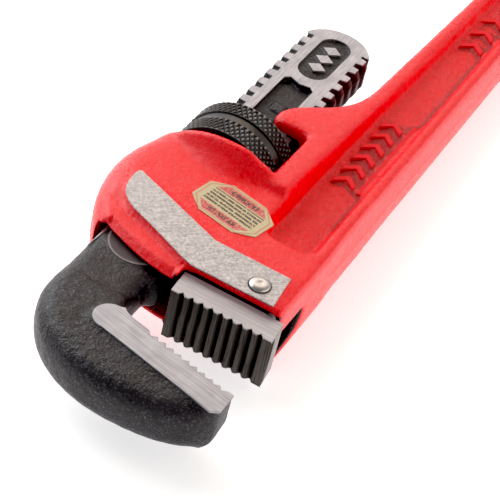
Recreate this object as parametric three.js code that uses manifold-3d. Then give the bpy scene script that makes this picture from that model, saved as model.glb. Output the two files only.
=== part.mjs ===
// Straight pipe wrench, 14 inch pattern, lying on its side.
// Millimetres. +X runs from the hook jaw to the handle end, +Y to the spine side, +Z is the
// thickness. The model is drawn about the heel jaw pin (X = Y = 0, mid-plane Z = 0) and the
// finished group is shifted so that its origin is the centre of the bottom of its box.
import * as THREE from 'three';
import Module from 'manifold-3d';
import { mergeVertices } from 'three/addons/utils/BufferGeometryUtils.js';

const wasm = await Module();
wasm.setup();

// ---- Driving dimensions -------------------------------------------------------------
// Housing and handle, one casting
const HEAD_HALF = 11.7;          // painted side faces of the head
const PAD_HALF = 12.5;           // ground strips that stand proud of the paint
const PLATEAU_HALF = 14.2;       // ledge and horn beside the nut window
const FRONT_Y = -10.9;           // front edge of head and handle
const HANDLE_END_X = 256;
const HANDLE_TAPER = 0.0009;     // share of the thickness lost per mm of handle
const WEB_HALF = 5.5;            // web of the handle's I section
const CROWN = { x: 26.4, y: 16.6, radius: 47.6, round: 8 };
const WINDOW = { left: 46.4, right: 72.4, floor: 21.7 };
const FLARE = { y: 35, halfY: 24.5, halfZ: 17.2, startX: 31, power: 2.3 };
const SLOT = { front: 21.6, back: 53.5, half: 7.6, horn: 23.9 };
const HEEL_SLOT = { front: -8.8, back: 9.2, half: 9.7, end: 22.6 };
const HANG_HOLE = { x: 243, y: -0.6, radius: 6 };
// Shank of the hook jaw, with its cut-away thread
const AXIS_Y = 38.7;
const SHANK_HALF = 6;
const SHANK_END_X = 141;
const PITCH = 6.28;
const THREAD_MAJOR = 13.6;
const THREAD_ROOT = 11.15;
const RIDGE_AT_BACK_X = 89.6;    // a ridge centre on the spine side
const THREAD_FROM = 24;
const THREAD_TO = 136;
// Adjusting nut
const NUT = { left: 47, right: 65.4, radius: 19, groove: 18, bore: 14.2, minor: 11.9 };
// Hook jaw
const NECK = { left: -30, right: -1, half: 6.7, front: 28.5, back: 52.3 };
const COIN = { x: -2, y: 39, radius: 9.5, half: 7.1 };
const HOOK_HALF = 8.2;
const JAW_HALF = 9.2;            // gripping faces of both jaws
const GRIP = { throatX: -31, throatY: 28.7, tipX: -40.3, tipY: -14.4, width: 10 };
// Heel jaw
const HEEL = { tipX: -15.4, rootX: -14.1, pitch: 3.26, firstGroove: 17.1, grooves: 9, rootY: -6.4, shoulderX: -6.2 };
// Small parts
const PIN_RADIUS = 2.9;
const SPRING_X = 15.6;           // axis of the coil spring, which runs along Y
const LEAF = { y: 24.3, thickness: 0.9, half: 4.6, from: 10, to: 44, bend: 0.8 };
const LABEL = { x: 25.1, y: 22.9, halfWidth: 8.5, halfLength: 12.7, thickness: 0.25, lean: 0.197 };
const GAP = 0.3;

const MATERIALS = {
  red_paint: new THREE.MeshStandardMaterial({ color: 0xd8141c, roughness: 0.38, metalness: 0 }),
  black_forging: new THREE.MeshStandardMaterial({ color: 0x1d1b1e, roughness: 0.55, metalness: 0.4 }),
  heel_steel: new THREE.MeshStandardMaterial({ color: 0xb4b0ae, roughness: 0.35, metalness: 0.9 }),
  bright_steel: new THREE.MeshStandardMaterial({ color: 0xd0d0d2, roughness: 0.2, metalness: 1 }),
  spring_steel: new THREE.MeshStandardMaterial({ color: 0x5d6068, roughness: 0.35, metalness: 0.9 }),
  label: new THREE.MeshStandardMaterial({ color: 0xd9cba0, roughness: 0.5, metalness: 0 }),
};

// ---- Solid helpers ------------------------------------------------------------------
function solid(geometry) {
  const bare = geometry.clone();
  bare.deleteAttribute('normal');
  bare.deleteAttribute('uv');
  const merged = mergeVertices(bare, 1e-4);
  return new wasm.Manifold(new wasm.Mesh({
    numProp: 3,
    vertProperties: new Float32Array(merged.attributes.position.array),
    triVerts: new Uint32Array(merged.index.array),
  }));
}

function namedMesh(name, body, material) {
  const result = body.getMesh();
  const geometry = new THREE.BufferGeometry();
  geometry.setAttribute('position', new THREE.BufferAttribute(result.vertProperties, 3));
  geometry.setIndex(new THREE.BufferAttribute(result.triVerts, 1));
  geometry.computeVertexNormals();
  const mesh = new THREE.Mesh(geometry, material);
  mesh.name = name;
  return mesh;
}

function polygon(points) {
  return new THREE.Shape(points.map(([x, y]) => new THREE.Vector2(x, y)));
}

// A flat plate from z0 to z1.
function plate(shape, z0, z1, curveSegments = 12) {
  const geometry = new THREE.ExtrudeGeometry(shape, { depth: z1 - z0, bevelEnabled: false, curveSegments });
  return geometry.translate(0, 0, z0);
}

// A plate about the mid-plane whose edges are rounded.
function roundedPlate(shape, half, round, segments = 3, curveSegments = 10) {
  const geometry = new THREE.ExtrudeGeometry(shape, {
    depth: 2 * (half - round), bevelThickness: round, bevelSize: round, bevelOffset: -round,
    bevelSegments: segments, curveSegments,
  });
  return geometry.translate(0, 0, -(half - round));
}

function box(x0, x1, y0, y1, z0, z1) {
  const geometry = new THREE.BoxGeometry(x1 - x0, y1 - y0, z1 - z0);
  return geometry.translate((x0 + x1) / 2, (y0 + y1) / 2, (z0 + z1) / 2);
}

// A turned body: [radius, height] pairs about the Z axis.
function turned(profile, segments = 32) {
  const points = profile.map(([radius, height]) => new THREE.Vector2(radius, height));
  return new THREE.LatheGeometry(points, segments).rotateX(Math.PI / 2);
}

// Lay a body turned about Z along the X axis, at the shank's axis.
function alongShank(geometry) {
  return geometry.rotateY(Math.PI / 2).translate(0, AXIS_Y, 0);
}

function bothSides(body) {
  return [body, body.mirror([0, 0, 1])];
}

function addAll(body, others) {
  return others.reduce((sum, other) => sum.add(other), body);
}

function cutAll(body, others) {
  return others.reduce((rest, other) => rest.subtract(other), body);
}

// A helical ridge about the shank's axis. The section is [radius, axial offset] pairs; the
// ridge's centre is at ridgeX where it crosses the spine side.
function helicalRidge(section, ridgeX, fromX, toX, stepsPerTurn) {
  const firstTurn = (fromX - ridgeX) / PITCH;
  const turns = (toX - fromX) / PITCH;
  const steps = Math.round(turns * stepsPerTurn);
  const strip = new THREE.ExtrudeGeometry(polygon(section), { depth: turns, steps, bevelEnabled: false });
  const place = strip.attributes.position;
  for (let i = 0; i < place.count; i += 1) {
    const radius = place.getX(i);
    const turn = firstTurn + place.getZ(i);
    const angle = 2 * Math.PI * turn;
    place.setXYZ(i, ridgeX + PITCH * turn - place.getY(i),
      AXIS_Y + radius * Math.cos(angle), radius * Math.sin(angle));
  }
  return strip;
}

// Thin the body towards the handle end.
function taperedThickness(geometry, fromX, lossPerMm) {
  const place = geometry.attributes.position;
  for (let i = 0; i < place.count; i += 1) {
    const share = 1 - lossPerMm * Math.max(0, place.getX(i) - fromX);
    place.setZ(i, place.getZ(i) * share);
  }
  return geometry;
}

// ---- Housing and handle -------------------------------------------------------------
// Head outline: cheeks in front, crown over the shank, window wall at the back.
function headShape() {
  const shape = new THREE.Shape();
  shape.moveTo(-5.8, FRONT_Y);
  shape.lineTo(-5.8, 21.4);
  shape.lineTo(-10.4, 21.6);
  shape.bezierCurveTo(-10.4, 31, -7.6, 39.5, -3.4, 48.4);
  shape.lineTo(-1.8, 51);
  shape.absarc(CROWN.x, CROWN.y, CROWN.radius, Math.PI - 0.87, 1.135, true);
  shape.lineTo(WINDOW.left, 57);
  shape.lineTo(WINDOW.left, 12);
  shape.lineTo(60, FRONT_Y);
  return shape;
}

// Handle outline with its slight taper and its rounded end.
function handleShape() {
  const shape = new THREE.Shape();
  shape.moveTo(14, FRONT_Y);
  shape.lineTo(14, 17);
  shape.lineTo(104, 16.8);
  shape.lineTo(226, 11.5);
  shape.quadraticCurveTo(234, 11.2, 240, 12.6);
  shape.absarc(HANDLE_END_X - 13.2, -0.6, 13.2, 1.45, -1.45, true);
  shape.quadraticCurveTo(236, -12.6, 226, FRONT_Y);
  return shape;
}

// Ledge below the nut window and the horn behind it.
function plateauShape() {
  const shape = new THREE.Shape();
  shape.moveTo(41, 11);
  shape.lineTo(41, WINDOW.floor);
  shape.lineTo(WINDOW.right, WINDOW.floor);
  shape.lineTo(WINDOW.right, 32);
  shape.bezierCurveTo(WINDOW.right, 36.8, 80, 36.6, 85.5, 31.8);
  shape.bezierCurveTo(92, 26, 96, 17.4, 112, 16.6);
  shape.lineTo(112, 11);
  return shape;
}

// The head swells into a flange that backs the nut; its section is a squarish oval.
function flare() {
  const inner = 10.4;
  const length = WINDOW.left - FLARE.startX;
  const profile = [[0, 0], [inner, 0]];
  const steps = 6;
  for (let i = 1; i <= steps; i += 1) {
    const t = i / steps;
    profile.push([inner + (FLARE.halfZ - inner) * t ** 1.8, (length - 2.4) * t]);
  }
  profile.push([FLARE.halfZ, length - 0.7], [FLARE.halfZ - 0.6, length], [0, length]);
  const body = turned(profile, 48).rotateY(Math.PI / 2);
  const place = body.attributes.position;
  for (let i = 0; i < place.count; i += 1) {
    const radius = Math.hypot(place.getY(i), place.getZ(i));
    if (radius > 0) {
      const u = Math.abs(place.getY(i)) / radius;
      const w = Math.abs(place.getZ(i)) / radius;
      const swell = (u ** FLARE.power + w ** FLARE.power) ** (-1 / FLARE.power);
      place.setY(i, place.getY(i) * swell * (FLARE.halfY / FLARE.halfZ));
      place.setZ(i, place.getZ(i) * swell);
    }
  }
  return solid(body.translate(FLARE.startX, FLARE.y, 0));
}

// What the crown's large edge rounding takes off the head.
function crownWaste() {
  const { x, y, radius, round } = CROWN;
  const profile = [[0, -HEAD_HALF], [radius - round, -HEAD_HALF]];
  const steps = 5;
  for (let side = -1; side <= 1; side += 2) {
    for (let i = 0; i <= steps; i += 1) {
      const angle = (Math.PI / 2) * (side < 0 ? 1 - i / steps : i / steps);
      const height = side * (HEAD_HALF - round + round * Math.sin(angle));
      if (i > 0 || side > 0) profile.push([radius - round + round * Math.cos(angle), height]);
    }
  }
  profile.push([0, HEAD_HALF]);
  const disc = solid(turned(profile, 72).translate(x, y, 0));
  return solid(box(-20, WINDOW.left + 1, 26, 80, -20, 20)).subtract(disc);
}

// The ground strip: a bent band that follows the jaws' line of force.
function stripShape() {
  const shape = new THREE.Shape();
  shape.moveTo(-5.3, -7.4);
  shape.lineTo(-5.8, 19.8);
  shape.lineTo(-4.4, 24);
  shape.lineTo(2, 39);
  shape.bezierCurveTo(4.6, 45.8, 6.4, 54, 18.2, 54);
  shape.quadraticCurveTo(21.8, 54, 21, 52.4);
  shape.lineTo(8.5, 19.8);
  shape.lineTo(8.6, -6);
  return shape;
}

// The paint in front of the strip lies lower than the strip.
function stripStep() {
  return solid(plate(polygon([[-14, 21.9], [-5.4, 21.9], [2, 39.2], [5, 47.2], [9.4, 52.4], [12.4, 60],
    [-14, 60]]), 10.5, 16));
}

// One side's recess between the handle's flanges, with drafted walls.
function handleRecess() {
  const shape = new THREE.Shape();
  shape.moveTo(26.5, -3.9);
  shape.quadraticCurveTo(24.6, -3.8, 24.6, -1);
  shape.lineTo(24.6, 6);
  shape.quadraticCurveTo(25, 10.4, 32, 10.5);
  shape.lineTo(60, 10.1);
  shape.lineTo(222, 4.6);
  shape.quadraticCurveTo(226, 4.4, 226, 0.5);
  shape.quadraticCurveTo(226, -4.6, 221, -4.7);
  const drop = 9.5;
  const geometry = new THREE.ExtrudeGeometry(shape, {
    depth: 1, bevelThickness: drop, bevelSize: 3.9, bevelSegments: 1, curveSegments: 6,
  });
  return solid(geometry.translate(0, 0, WEB_HALF + drop));
}

// Plain raised chevrons on the web: six over a rule, and three more towards the handle's end.
function webMotif() {
  const top = WEB_HALF + 1.2;
  const chevron = (x, y, stroke, height) => {
    const nose = height * 0.42;
    return solid(plate(polygon([[x, y], [x + stroke, y], [x + stroke + nose, y + height / 2],
      [x + stroke, y + height], [x, y + height], [x + nose, y + height / 2]]), 0, top));
  };
  const near = [0, 1, 2, 3, 4, 5].map((i) => chevron(64.5 + i * 7.2, -0.4, 3, 7.8));
  const far = [0, 1, 2].map((i) => chevron(163 + i * 10, -3.4, 3.4, 8.6));
  return [...near, ...far, solid(box(64, 109, -3.6, -1.8, 0, top))];
}

// Wedge-shaped opening in the wall in front of the heel jaw's slot.
function slotOpening() {
  const shape = polygon([[-9, 0.4], [12, 0.4], [13, -1.4], [10, -6.4], [-5, -9.4], [-9, -9.4]]);
  const wedge = plate(shape, -3.5, 30).rotateX(Math.PI / 2);
  return solid(wedge);
}

function housingHandle() {
  const head = solid(roundedPlate(headShape(), HEAD_HALF, 1.6));
  const handle = solid(taperedThickness(roundedPlate(handleShape(), HEAD_HALF, 1.6), 20, HANDLE_TAPER));
  const plateau = solid(taperedThickness(roundedPlate(plateauShape(), PLATEAU_HALF, 1.8), 48, 0.0038));
  const headLimit = solid(plate(headShape(), -25, 25));
  let body = head.subtract(crownWaste()).add(flare().intersect(headLimit)).add(handle).add(plateau);
  body = cutAll(body, bothSides(stripStep()));
  const strip = solid(plate(stripShape(), HEEL_SLOT.half, PAD_HALF, 10));
  body = addAll(body, bothSides(strip));
  body = cutAll(body, bothSides(handleRecess()));
  body = addAll(body, webMotif().flatMap(bothSides));
  body = cutAll(body, [
    solid(box(-30, 60, SLOT.front, SLOT.back, -SLOT.half, SLOT.half)),
    solid(box(60, 110, SLOT.horn, 80, -SLOT.half, SLOT.half)),
    solid(box(-30, HEEL_SLOT.back, HEEL_SLOT.front, HEEL_SLOT.end, -HEEL_SLOT.half, HEEL_SLOT.half)),
    slotOpening(),
    solid(box(WINDOW.left, WINDOW.right, WINDOW.floor, 90, -30, 30)),
  ]);
  const relief = alongShank(turned([[0, WINDOW.left], [20.4, WINDOW.left], [20.4, WINDOW.right],
    [0, WINDOW.right]], 48));
  const pinBore = turned([[0, -20], [PIN_RADIUS + GAP, -20], [PIN_RADIUS + GAP, 20], [0, 20]], 24);
  const springPocket = turned([[0, 8.5], [4.7, 8.5], [4.7, 24], [0, 24]], 24).rotateX(-Math.PI / 2);
  const hangHole = turned([[0, -20], [HANG_HOLE.radius, -20], [HANG_HOLE.radius, 20], [0, 20]], 32);
  body = cutAll(body, [
    solid(relief), solid(pinBore), solid(springPocket.translate(SPRING_X, 0, 0)),
    solid(hangHole.translate(HANG_HOLE.x, HANG_HOLE.y, 0)),
  ]);
  return namedMesh('housing_handle', body, MATERIALS.red_paint);
}

// ---- Heel jaw and pin ---------------------------------------------------------------
function heelJaw() {
  const teeth = [];
  for (let i = HEEL.grooves - 1; i >= 0; i -= 1) {
    const y = HEEL.firstGroove - i * HEEL.pitch;
    teeth.push([HEEL.tipX, y - 1.15], [HEEL.rootX, y], [HEEL.tipX, y + 1.15]);
  }
  const outline = polygon([
    [HEEL.tipX, -13.1], ...teeth, [HEEL.tipX, 20.6], [-5.8, 21.3], [-4.6, 19.4],
    [HEEL_SLOT.back - 0.8, 19.4], [HEEL_SLOT.back - 0.8, HEEL.rootY], [HEEL.shoulderX, HEEL.rootY],
    [HEEL.shoulderX, -12.1],
  ]);
  const bore = turned([[0, -20], [PIN_RADIUS + GAP, -20], [PIN_RADIUS + GAP, 20], [0, 20]], 24);
  const body = solid(plate(outline, -JAW_HALF, JAW_HALF)).subtract(solid(bore));
  return namedMesh('heel_jaw', body, MATERIALS.heel_steel);
}

function heelJawPin() {
  const head = 0.75;
  const profile = [[0, -PAD_HALF + 0.2], [PIN_RADIUS - 0.3, -PAD_HALF + 0.2], [PIN_RADIUS, -PAD_HALF + 0.6],
    [PIN_RADIUS, PAD_HALF + GAP], [PIN_RADIUS + 0.5, PAD_HALF + GAP]];
  const steps = 5;
  for (let i = 1; i <= steps; i += 1) {
    const angle = (Math.PI / 2) * (i / steps);
    profile.push([(PIN_RADIUS + 0.5) * Math.cos(angle), PAD_HALF + GAP + head * Math.sin(angle)]);
  }
  profile[profile.length - 1][0] = 0;
  return namedMesh('heel_jaw_pin', solid(turned(profile, 24)), MATERIALS.bright_steel);
}

// ---- Hook jaw -----------------------------------------------------------------------
// Line of the hook's gripping face at height y.
function gripX(y) {
  const slope = (GRIP.throatX - GRIP.tipX) / (GRIP.throatY - GRIP.tipY);
  return GRIP.tipX + (y - GRIP.tipY) * slope;
}

function hookOutline() {
  const shape = new THREE.Shape();
  shape.moveTo(-22, NECK.back);
  shape.lineTo(-31, NECK.back);
  shape.bezierCurveTo(-43.5, NECK.back, -58.6, 39, -58.6, 16.2);
  shape.bezierCurveTo(-58.6, 6, -56.6, -14, -44, GRIP.tipY);
  shape.lineTo(-26, GRIP.tipY);
  shape.lineTo(-22, 10);
  return shape;
}

// Everything in front of the gripping face, its teeth and the throat.
function mouth() {
  const teethFrom = -12.4;
  const pitch = 2.9;
  const points = [[gripX(-30), -30]];
  for (let i = 0; i < 10; i += 1) {
    const y = teethFrom + i * pitch;
    points.push([gripX(y), y], [gripX(y) - 0.9, y + 1.9]);
  }
  const shape = polygon([...points, [gripX(17), 17], [gripX(23), 23]]);
  shape.quadraticCurveTo(gripX(28), NECK.front, -25.6, NECK.front);
  shape.lineTo(10, NECK.front);
  shape.lineTo(10, -30);
  return solid(plate(shape, -20, 20, 6));
}

// The bare gripping strip with a round throat end; below, it stops short of the dressed tip.
function gripStrip() {
  const shape = new THREE.Shape();
  const left = (y) => gripX(y) - GRIP.width;
  shape.moveTo(left(-12), -12);
  shape.lineTo(left(GRIP.throatY), GRIP.throatY);
  shape.absarc(GRIP.throatX - 5, GRIP.throatY - 0.3, 5.2, Math.PI - 0.1, 0, true);
  shape.lineTo(-20, 0);
  shape.lineTo(-30, GRIP.tipY);
  shape.lineTo(left(-12) + 1.6, GRIP.tipY);
  const lowerTip = solid(box(-70, 0, -30, -1.5, -20, -HOOK_HALF));
  return solid(plate(shape, -JAW_HALF, JAW_HALF, 8)).subtract(lowerTip);
}

// The tip's lower corner is dressed off at a slant.
function tipWaste() {
  const outward = new THREE.Vector3(0.35, -0.62, -0.7).normalize();
  const turn = new THREE.Quaternion().setFromUnitVectors(new THREE.Vector3(0, 0, 1), outward);
  const block = new THREE.BoxGeometry(60, 60, 20).translate(0, 0, 10).applyQuaternion(turn);
  return solid(block.translate(GRIP.tipX, GRIP.tipY, -1));
}

function shankThread() {
  const section = [[THREAD_ROOT - 1, -2.1], [THREAD_ROOT, -1.95], [THREAD_MAJOR, -1.45],
    [THREAD_MAJOR, 1.45], [THREAD_ROOT, 1.95], [THREAD_ROOT - 1, 2.1]];
  return solid(helicalRidge(section, RIDGE_AT_BACK_X, THREAD_FROM - 8, THREAD_TO, 13));
}

function rod(radius, fromX, toX) {
  return solid(alongShank(turned([[0, fromX], [radius, fromX], [radius, toX], [0, toX]], 26)));
}

// Flats, thread and round end.
function shank() {
  const outline = new THREE.Shape();
  outline.moveTo(-12, AXIS_Y - THREAD_MAJOR - 1);
  outline.lineTo(-12, AXIS_Y + THREAD_MAJOR + 1);
  outline.lineTo(SHANK_END_X - 14, AXIS_Y + THREAD_MAJOR + 1);
  outline.absarc(SHANK_END_X - 13.2, AXIS_Y, 13.2, Math.PI / 2, -Math.PI / 2, true);
  outline.lineTo(SHANK_END_X - 14, AXIS_Y - THREAD_MAJOR - 1);
  const slab = solid(plate(outline, -SHANK_HALF, SHANK_HALF, 14));
  const round = rod(THREAD_ROOT, -12, SHANK_END_X)
    .add(rod(THREAD_MAJOR, -12, THREAD_FROM))
    .add(rod(THREAD_MAJOR, THREAD_TO - 3, SHANK_END_X))
    .add(shankThread());
  return round.intersect(slab);
}

// Pockets in the flats, with a plain raised motif in each.
function shankPocket() {
  const long = polygon([[30, 33.3], [102.4, 33.3], [104.2, 35.2], [103.4, 39], [105, 43], [103.4, 44.8],
    [30, 44.8]]);
  const oval = new THREE.Shape();
  oval.absarc(114.1, 38.8, 5.7, Math.PI / 2, (3 * Math.PI) / 2, false);
  oval.absarc(130.1, 38.8, 5.7, -Math.PI / 2, Math.PI / 2, false);
  return [solid(plate(long, SHANK_HALF - 2, 20)), solid(plate(oval, SHANK_HALF - 1, 20, 8))];
}

function shankMotif() {
  const bars = [-1, 0, 1].map((i) => {
    const x = 122.1 + i * 6;
    return solid(plate(polygon([[x - 2.6, 38.8], [x, 35.4], [x + 2.6, 38.8], [x, 42.2]]), 0, SHANK_HALF));
  });
  const rules = [70, 78, 86].map((x) => solid(box(x, x + 5, 36.6, 41.4, 0, SHANK_HALF - 1.2)));
  return [...bars, ...rules];
}

function hookJaw() {
  const neckShape = new THREE.Shape();
  neckShape.moveTo(NECK.left, NECK.front);
  neckShape.lineTo(NECK.left, NECK.back);
  neckShape.lineTo(NECK.right, NECK.back);
  neckShape.lineTo(NECK.right, NECK.front);
  const neck = solid(roundedPlate(neckShape, NECK.half, 4.6, 4));
  const coin = solid(turned([[0, -COIN.half], [COIN.radius, -COIN.half], [COIN.radius, COIN.half],
    [0, COIN.half]], 40).translate(COIN.x, COIN.y, 0));
  let body = solid(roundedPlate(hookOutline(), HOOK_HALF, 5.6, 4, 10));
  body = body.add(gripStrip()).subtract(mouth()).subtract(tipWaste()).add(neck).add(coin).add(shank());
  body = cutAll(body, shankPocket().flatMap(bothSides));
  body = addAll(body, shankMotif().flatMap(bothSides));
  return namedMesh('hook_jaw', body, MATERIALS.black_forging);
}

// ---- Adjusting nut ------------------------------------------------------------------
function adjustingNut() {
  const { left, right, radius, groove, bore, minor } = NUT;
  const middle = (left + right) / 2;
  const ring = alongShank(turned([
    [bore, left], [radius - 1, left], [radius, left + 0.8], [radius, middle - 1.9], [groove, middle - 1.4],
    [groove, middle + 1.4], [radius, middle + 1.9], [radius, right - 1.2], [radius - 1.4, right],
    [bore, right], [bore, left],
  ], 52));
  const section = [[minor, -0.85], [minor, 0.85], [bore + 1, 1.45], [bore + 1, -1.45]];
  const ridge = helicalRidge(section, RIDGE_AT_BACK_X - PITCH / 2, left + 1.7, right - 1.7, 16);
  return namedMesh('adjusting_nut', solid(ring).add(solid(ridge)), MATERIALS.black_forging);
}

// ---- Springs ------------------------------------------------------------------------
class SpringLine extends THREE.Curve {
  constructor(radius, turns, length) {
    super();
    this.radius = radius;
    this.turns = turns;
    this.length = length;
  }

  getPoint(t, target = new THREE.Vector3()) {
    const angle = 2 * Math.PI * this.turns * t;
    return target.set(this.radius * Math.cos(angle), -this.length * t, this.radius * Math.sin(angle));
  }
}

function coilSpring() {
  const wire = new THREE.Shape().absarc(0, 0, 0.6, 0, 2 * Math.PI);
  const line = new SpringLine(3.3, 3.6, 9.6);
  const coil = new THREE.ExtrudeGeometry(wire, { extrudePath: line, steps: 58, curveSegments: 4 });
  return namedMesh('coil_spring', solid(coil.translate(SPRING_X, 23, 0)), MATERIALS.spring_steel);
}

function flatSpring() {
  const top = LEAF.y + LEAF.thickness / 2;
  const shape = new THREE.Shape();
  shape.moveTo(LEAF.from, top - LEAF.bend);
  shape.quadraticCurveTo(LEAF.from + 1, top, LEAF.from + 5, top);
  shape.lineTo(LEAF.to - 8, top);
  shape.quadraticCurveTo(LEAF.to - 2, top, LEAF.to, top - 1);
  shape.lineTo(LEAF.to, top - 1 - LEAF.thickness);
  shape.quadraticCurveTo(LEAF.to - 2, top - LEAF.thickness, LEAF.to - 8, top - LEAF.thickness);
  shape.lineTo(LEAF.from + 5, top - LEAF.thickness);
  shape.quadraticCurveTo(LEAF.from + 1, top - LEAF.thickness, LEAF.from, top - LEAF.bend - LEAF.thickness);
  const hole = turned([[0, 10], [1.5, 10], [1.5, 40], [0, 40]], 16).rotateX(-Math.PI / 2);
  const leaf = solid(plate(shape, -LEAF.half, LEAF.half, 4)).subtract(solid(hole.translate(SPRING_X, 0, 0)));
  return namedMesh('flat_spring', leaf, MATERIALS.spring_steel);
}

function springRivet() {
  const under = LEAF.y - LEAF.thickness / 2 - GAP;
  const stud = turned([[0, 20.4], [1.7, 20.4], [2.1, 20.9], [2.1, under], [1.2, under], [1.2, under + 1.3],
    [0, under + 1.3]], 20).rotateX(-Math.PI / 2);
  return namedMesh('spring_rivet', solid(stud.translate(SPRING_X, 0, 0)), MATERIALS.spring_steel);
}

// ---- Label --------------------------------------------------------------------------
function label() {
  const { x, y, halfWidth, halfLength, thickness, lean } = LABEL;
  const corner = 0.52;
  const points = [[1, corner], [corner, 1], [-corner, 1], [-1, corner], [-1, -corner], [-corner, -1],
    [corner, -1], [1, -corner]].map(([u, v]) => [u * halfWidth, v * halfLength]);
  const octagon = plate(polygon(points), HEAD_HALF + 0.02, HEAD_HALF + 0.02 + thickness);
  const body = solid(octagon.rotateZ(-lean).translate(x, y, 0));
  return namedMesh('side_label', body, MATERIALS.label);
}

// ---- Assembly -----------------------------------------------------------------------
const group = new THREE.Group();
group.add(
  housingHandle(), heelJaw(), heelJawPin(), hookJaw(), adjustingNut(), coilSpring(), flatSpring(),
  springRivet(), label(),
);
const extent = new THREE.Box3().setFromObject(group);
group.position.set(-(extent.min.x + extent.max.x) / 2, -(extent.min.y + extent.max.y) / 2, -extent.min.z);
group.updateMatrixWorld(true);

export default group;
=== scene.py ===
"""The looks of a straight pipe wrench that lies on its side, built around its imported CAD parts.

Metres, in the row frame. Places are worked out from the heel jaw pin's axis and the mid-plane,
which is where the CAD was drawn from: at(x, y, z) takes millimetres from there. Cast and forged
parts are finer, softened copies of their CAD nodes; ground faces are thin plates laid on them;
the nut, the pin and the label are built here.
"""
import math

import bmesh
import bpy
import numpy as np
from mathutils import Matrix, Vector, noise


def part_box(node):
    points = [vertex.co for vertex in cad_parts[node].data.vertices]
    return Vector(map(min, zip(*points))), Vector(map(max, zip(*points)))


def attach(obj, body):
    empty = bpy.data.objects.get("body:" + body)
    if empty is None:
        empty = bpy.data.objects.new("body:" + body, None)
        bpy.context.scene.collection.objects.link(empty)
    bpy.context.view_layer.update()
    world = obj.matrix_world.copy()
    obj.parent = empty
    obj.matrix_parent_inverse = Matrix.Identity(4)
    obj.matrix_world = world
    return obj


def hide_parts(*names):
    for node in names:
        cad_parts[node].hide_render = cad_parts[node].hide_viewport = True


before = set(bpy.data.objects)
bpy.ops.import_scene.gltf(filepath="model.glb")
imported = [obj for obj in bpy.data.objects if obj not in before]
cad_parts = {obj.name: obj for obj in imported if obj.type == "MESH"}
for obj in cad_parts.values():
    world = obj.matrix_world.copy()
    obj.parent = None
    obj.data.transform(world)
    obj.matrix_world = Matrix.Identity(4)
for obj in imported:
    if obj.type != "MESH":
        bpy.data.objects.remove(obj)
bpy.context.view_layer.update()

MM = 0.001

# ---- Places from the frame ----------------------------------------------------------
pin_low, pin_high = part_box("heel_jaw_pin")
nut_low, nut_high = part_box("adjusting_nut")
pin_axis_x = (pin_low.x + pin_high.x) / 2
pin_axis_y = (pin_low.y + pin_high.y) / 2
ORIGIN = Vector((pin_axis_x, pin_axis_y, (nut_low.z + nut_high.z) / 2))
PIN_TOP = (pin_high.z - ORIGIN.z) / MM
NUT_LEFT = (nut_low.x - ORIGIN.x) / MM
NUT_RIGHT = (nut_high.x - ORIGIN.x) / MM
NUT_MIDDLE = (NUT_LEFT + NUT_RIGHT) / 2
NUT_RADIUS = (nut_high.z - nut_low.z) / 2 / MM
NUT_AXIS_Y = ((nut_low.y + nut_high.y) / 2 - ORIGIN.y) / MM

# ---- Heights of the ground faces, in mm from the mid-plane ---------------------------
PAD_HEIGHT = 12.5        # strips on the head
GRIP_HEIGHT = 9.2        # strips on the hook, top and bottom of the heel jaw
FLAT_HEIGHT = 6.0        # flats of the shank
WEB_HEIGHT = 5.5         # sunk web of the handle
MARK_HEIGHT = 6.7        # raised marks on the web
DISC_HEIGHT = 7.1        # disc on the hook's neck
SINK = 0.15              # how far the body below a ground plate is lowered

# ---- Places on the parts, in mm from the working origin -------------------------------
# painted shade: the box inside the heel jaw's slot that the paint colours near-black
SLOT_CAVITY = ((-12, 13.2), (-10.5, 22.9), (-1, 9.85))   # dark inside of the heel jaw's slot: x, y, |z|
SLOT_END_Y = 22.9        # the slot's far end, behind the heel jaw
DISC_CENTRE = (-2, 39)   # disc on the hook's neck: x, y
DISC_RADIUS = 9.3
HANDLE_AXIS_Y = 2
SHANK_FLATS_LEFT = 8     # the shank's flats start here
HOOK_GRIP_RIGHT = -20    # the hook's gripping end lies left of here


def at(x, y, z):
    """A point given in mm from the heel jaw pin's axis and the mid-plane."""
    return ORIGIN + Vector((x, y, z)) * MM


def set_range(node, low, high, out_low, out_high):
    """Set the ends of a Map Range node."""
    node.inputs["From Min"].default_value = low
    node.inputs["From Max"].default_value = high
    node.inputs["To Min"].default_value = out_low
    node.inputs["To Max"].default_value = out_high


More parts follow.
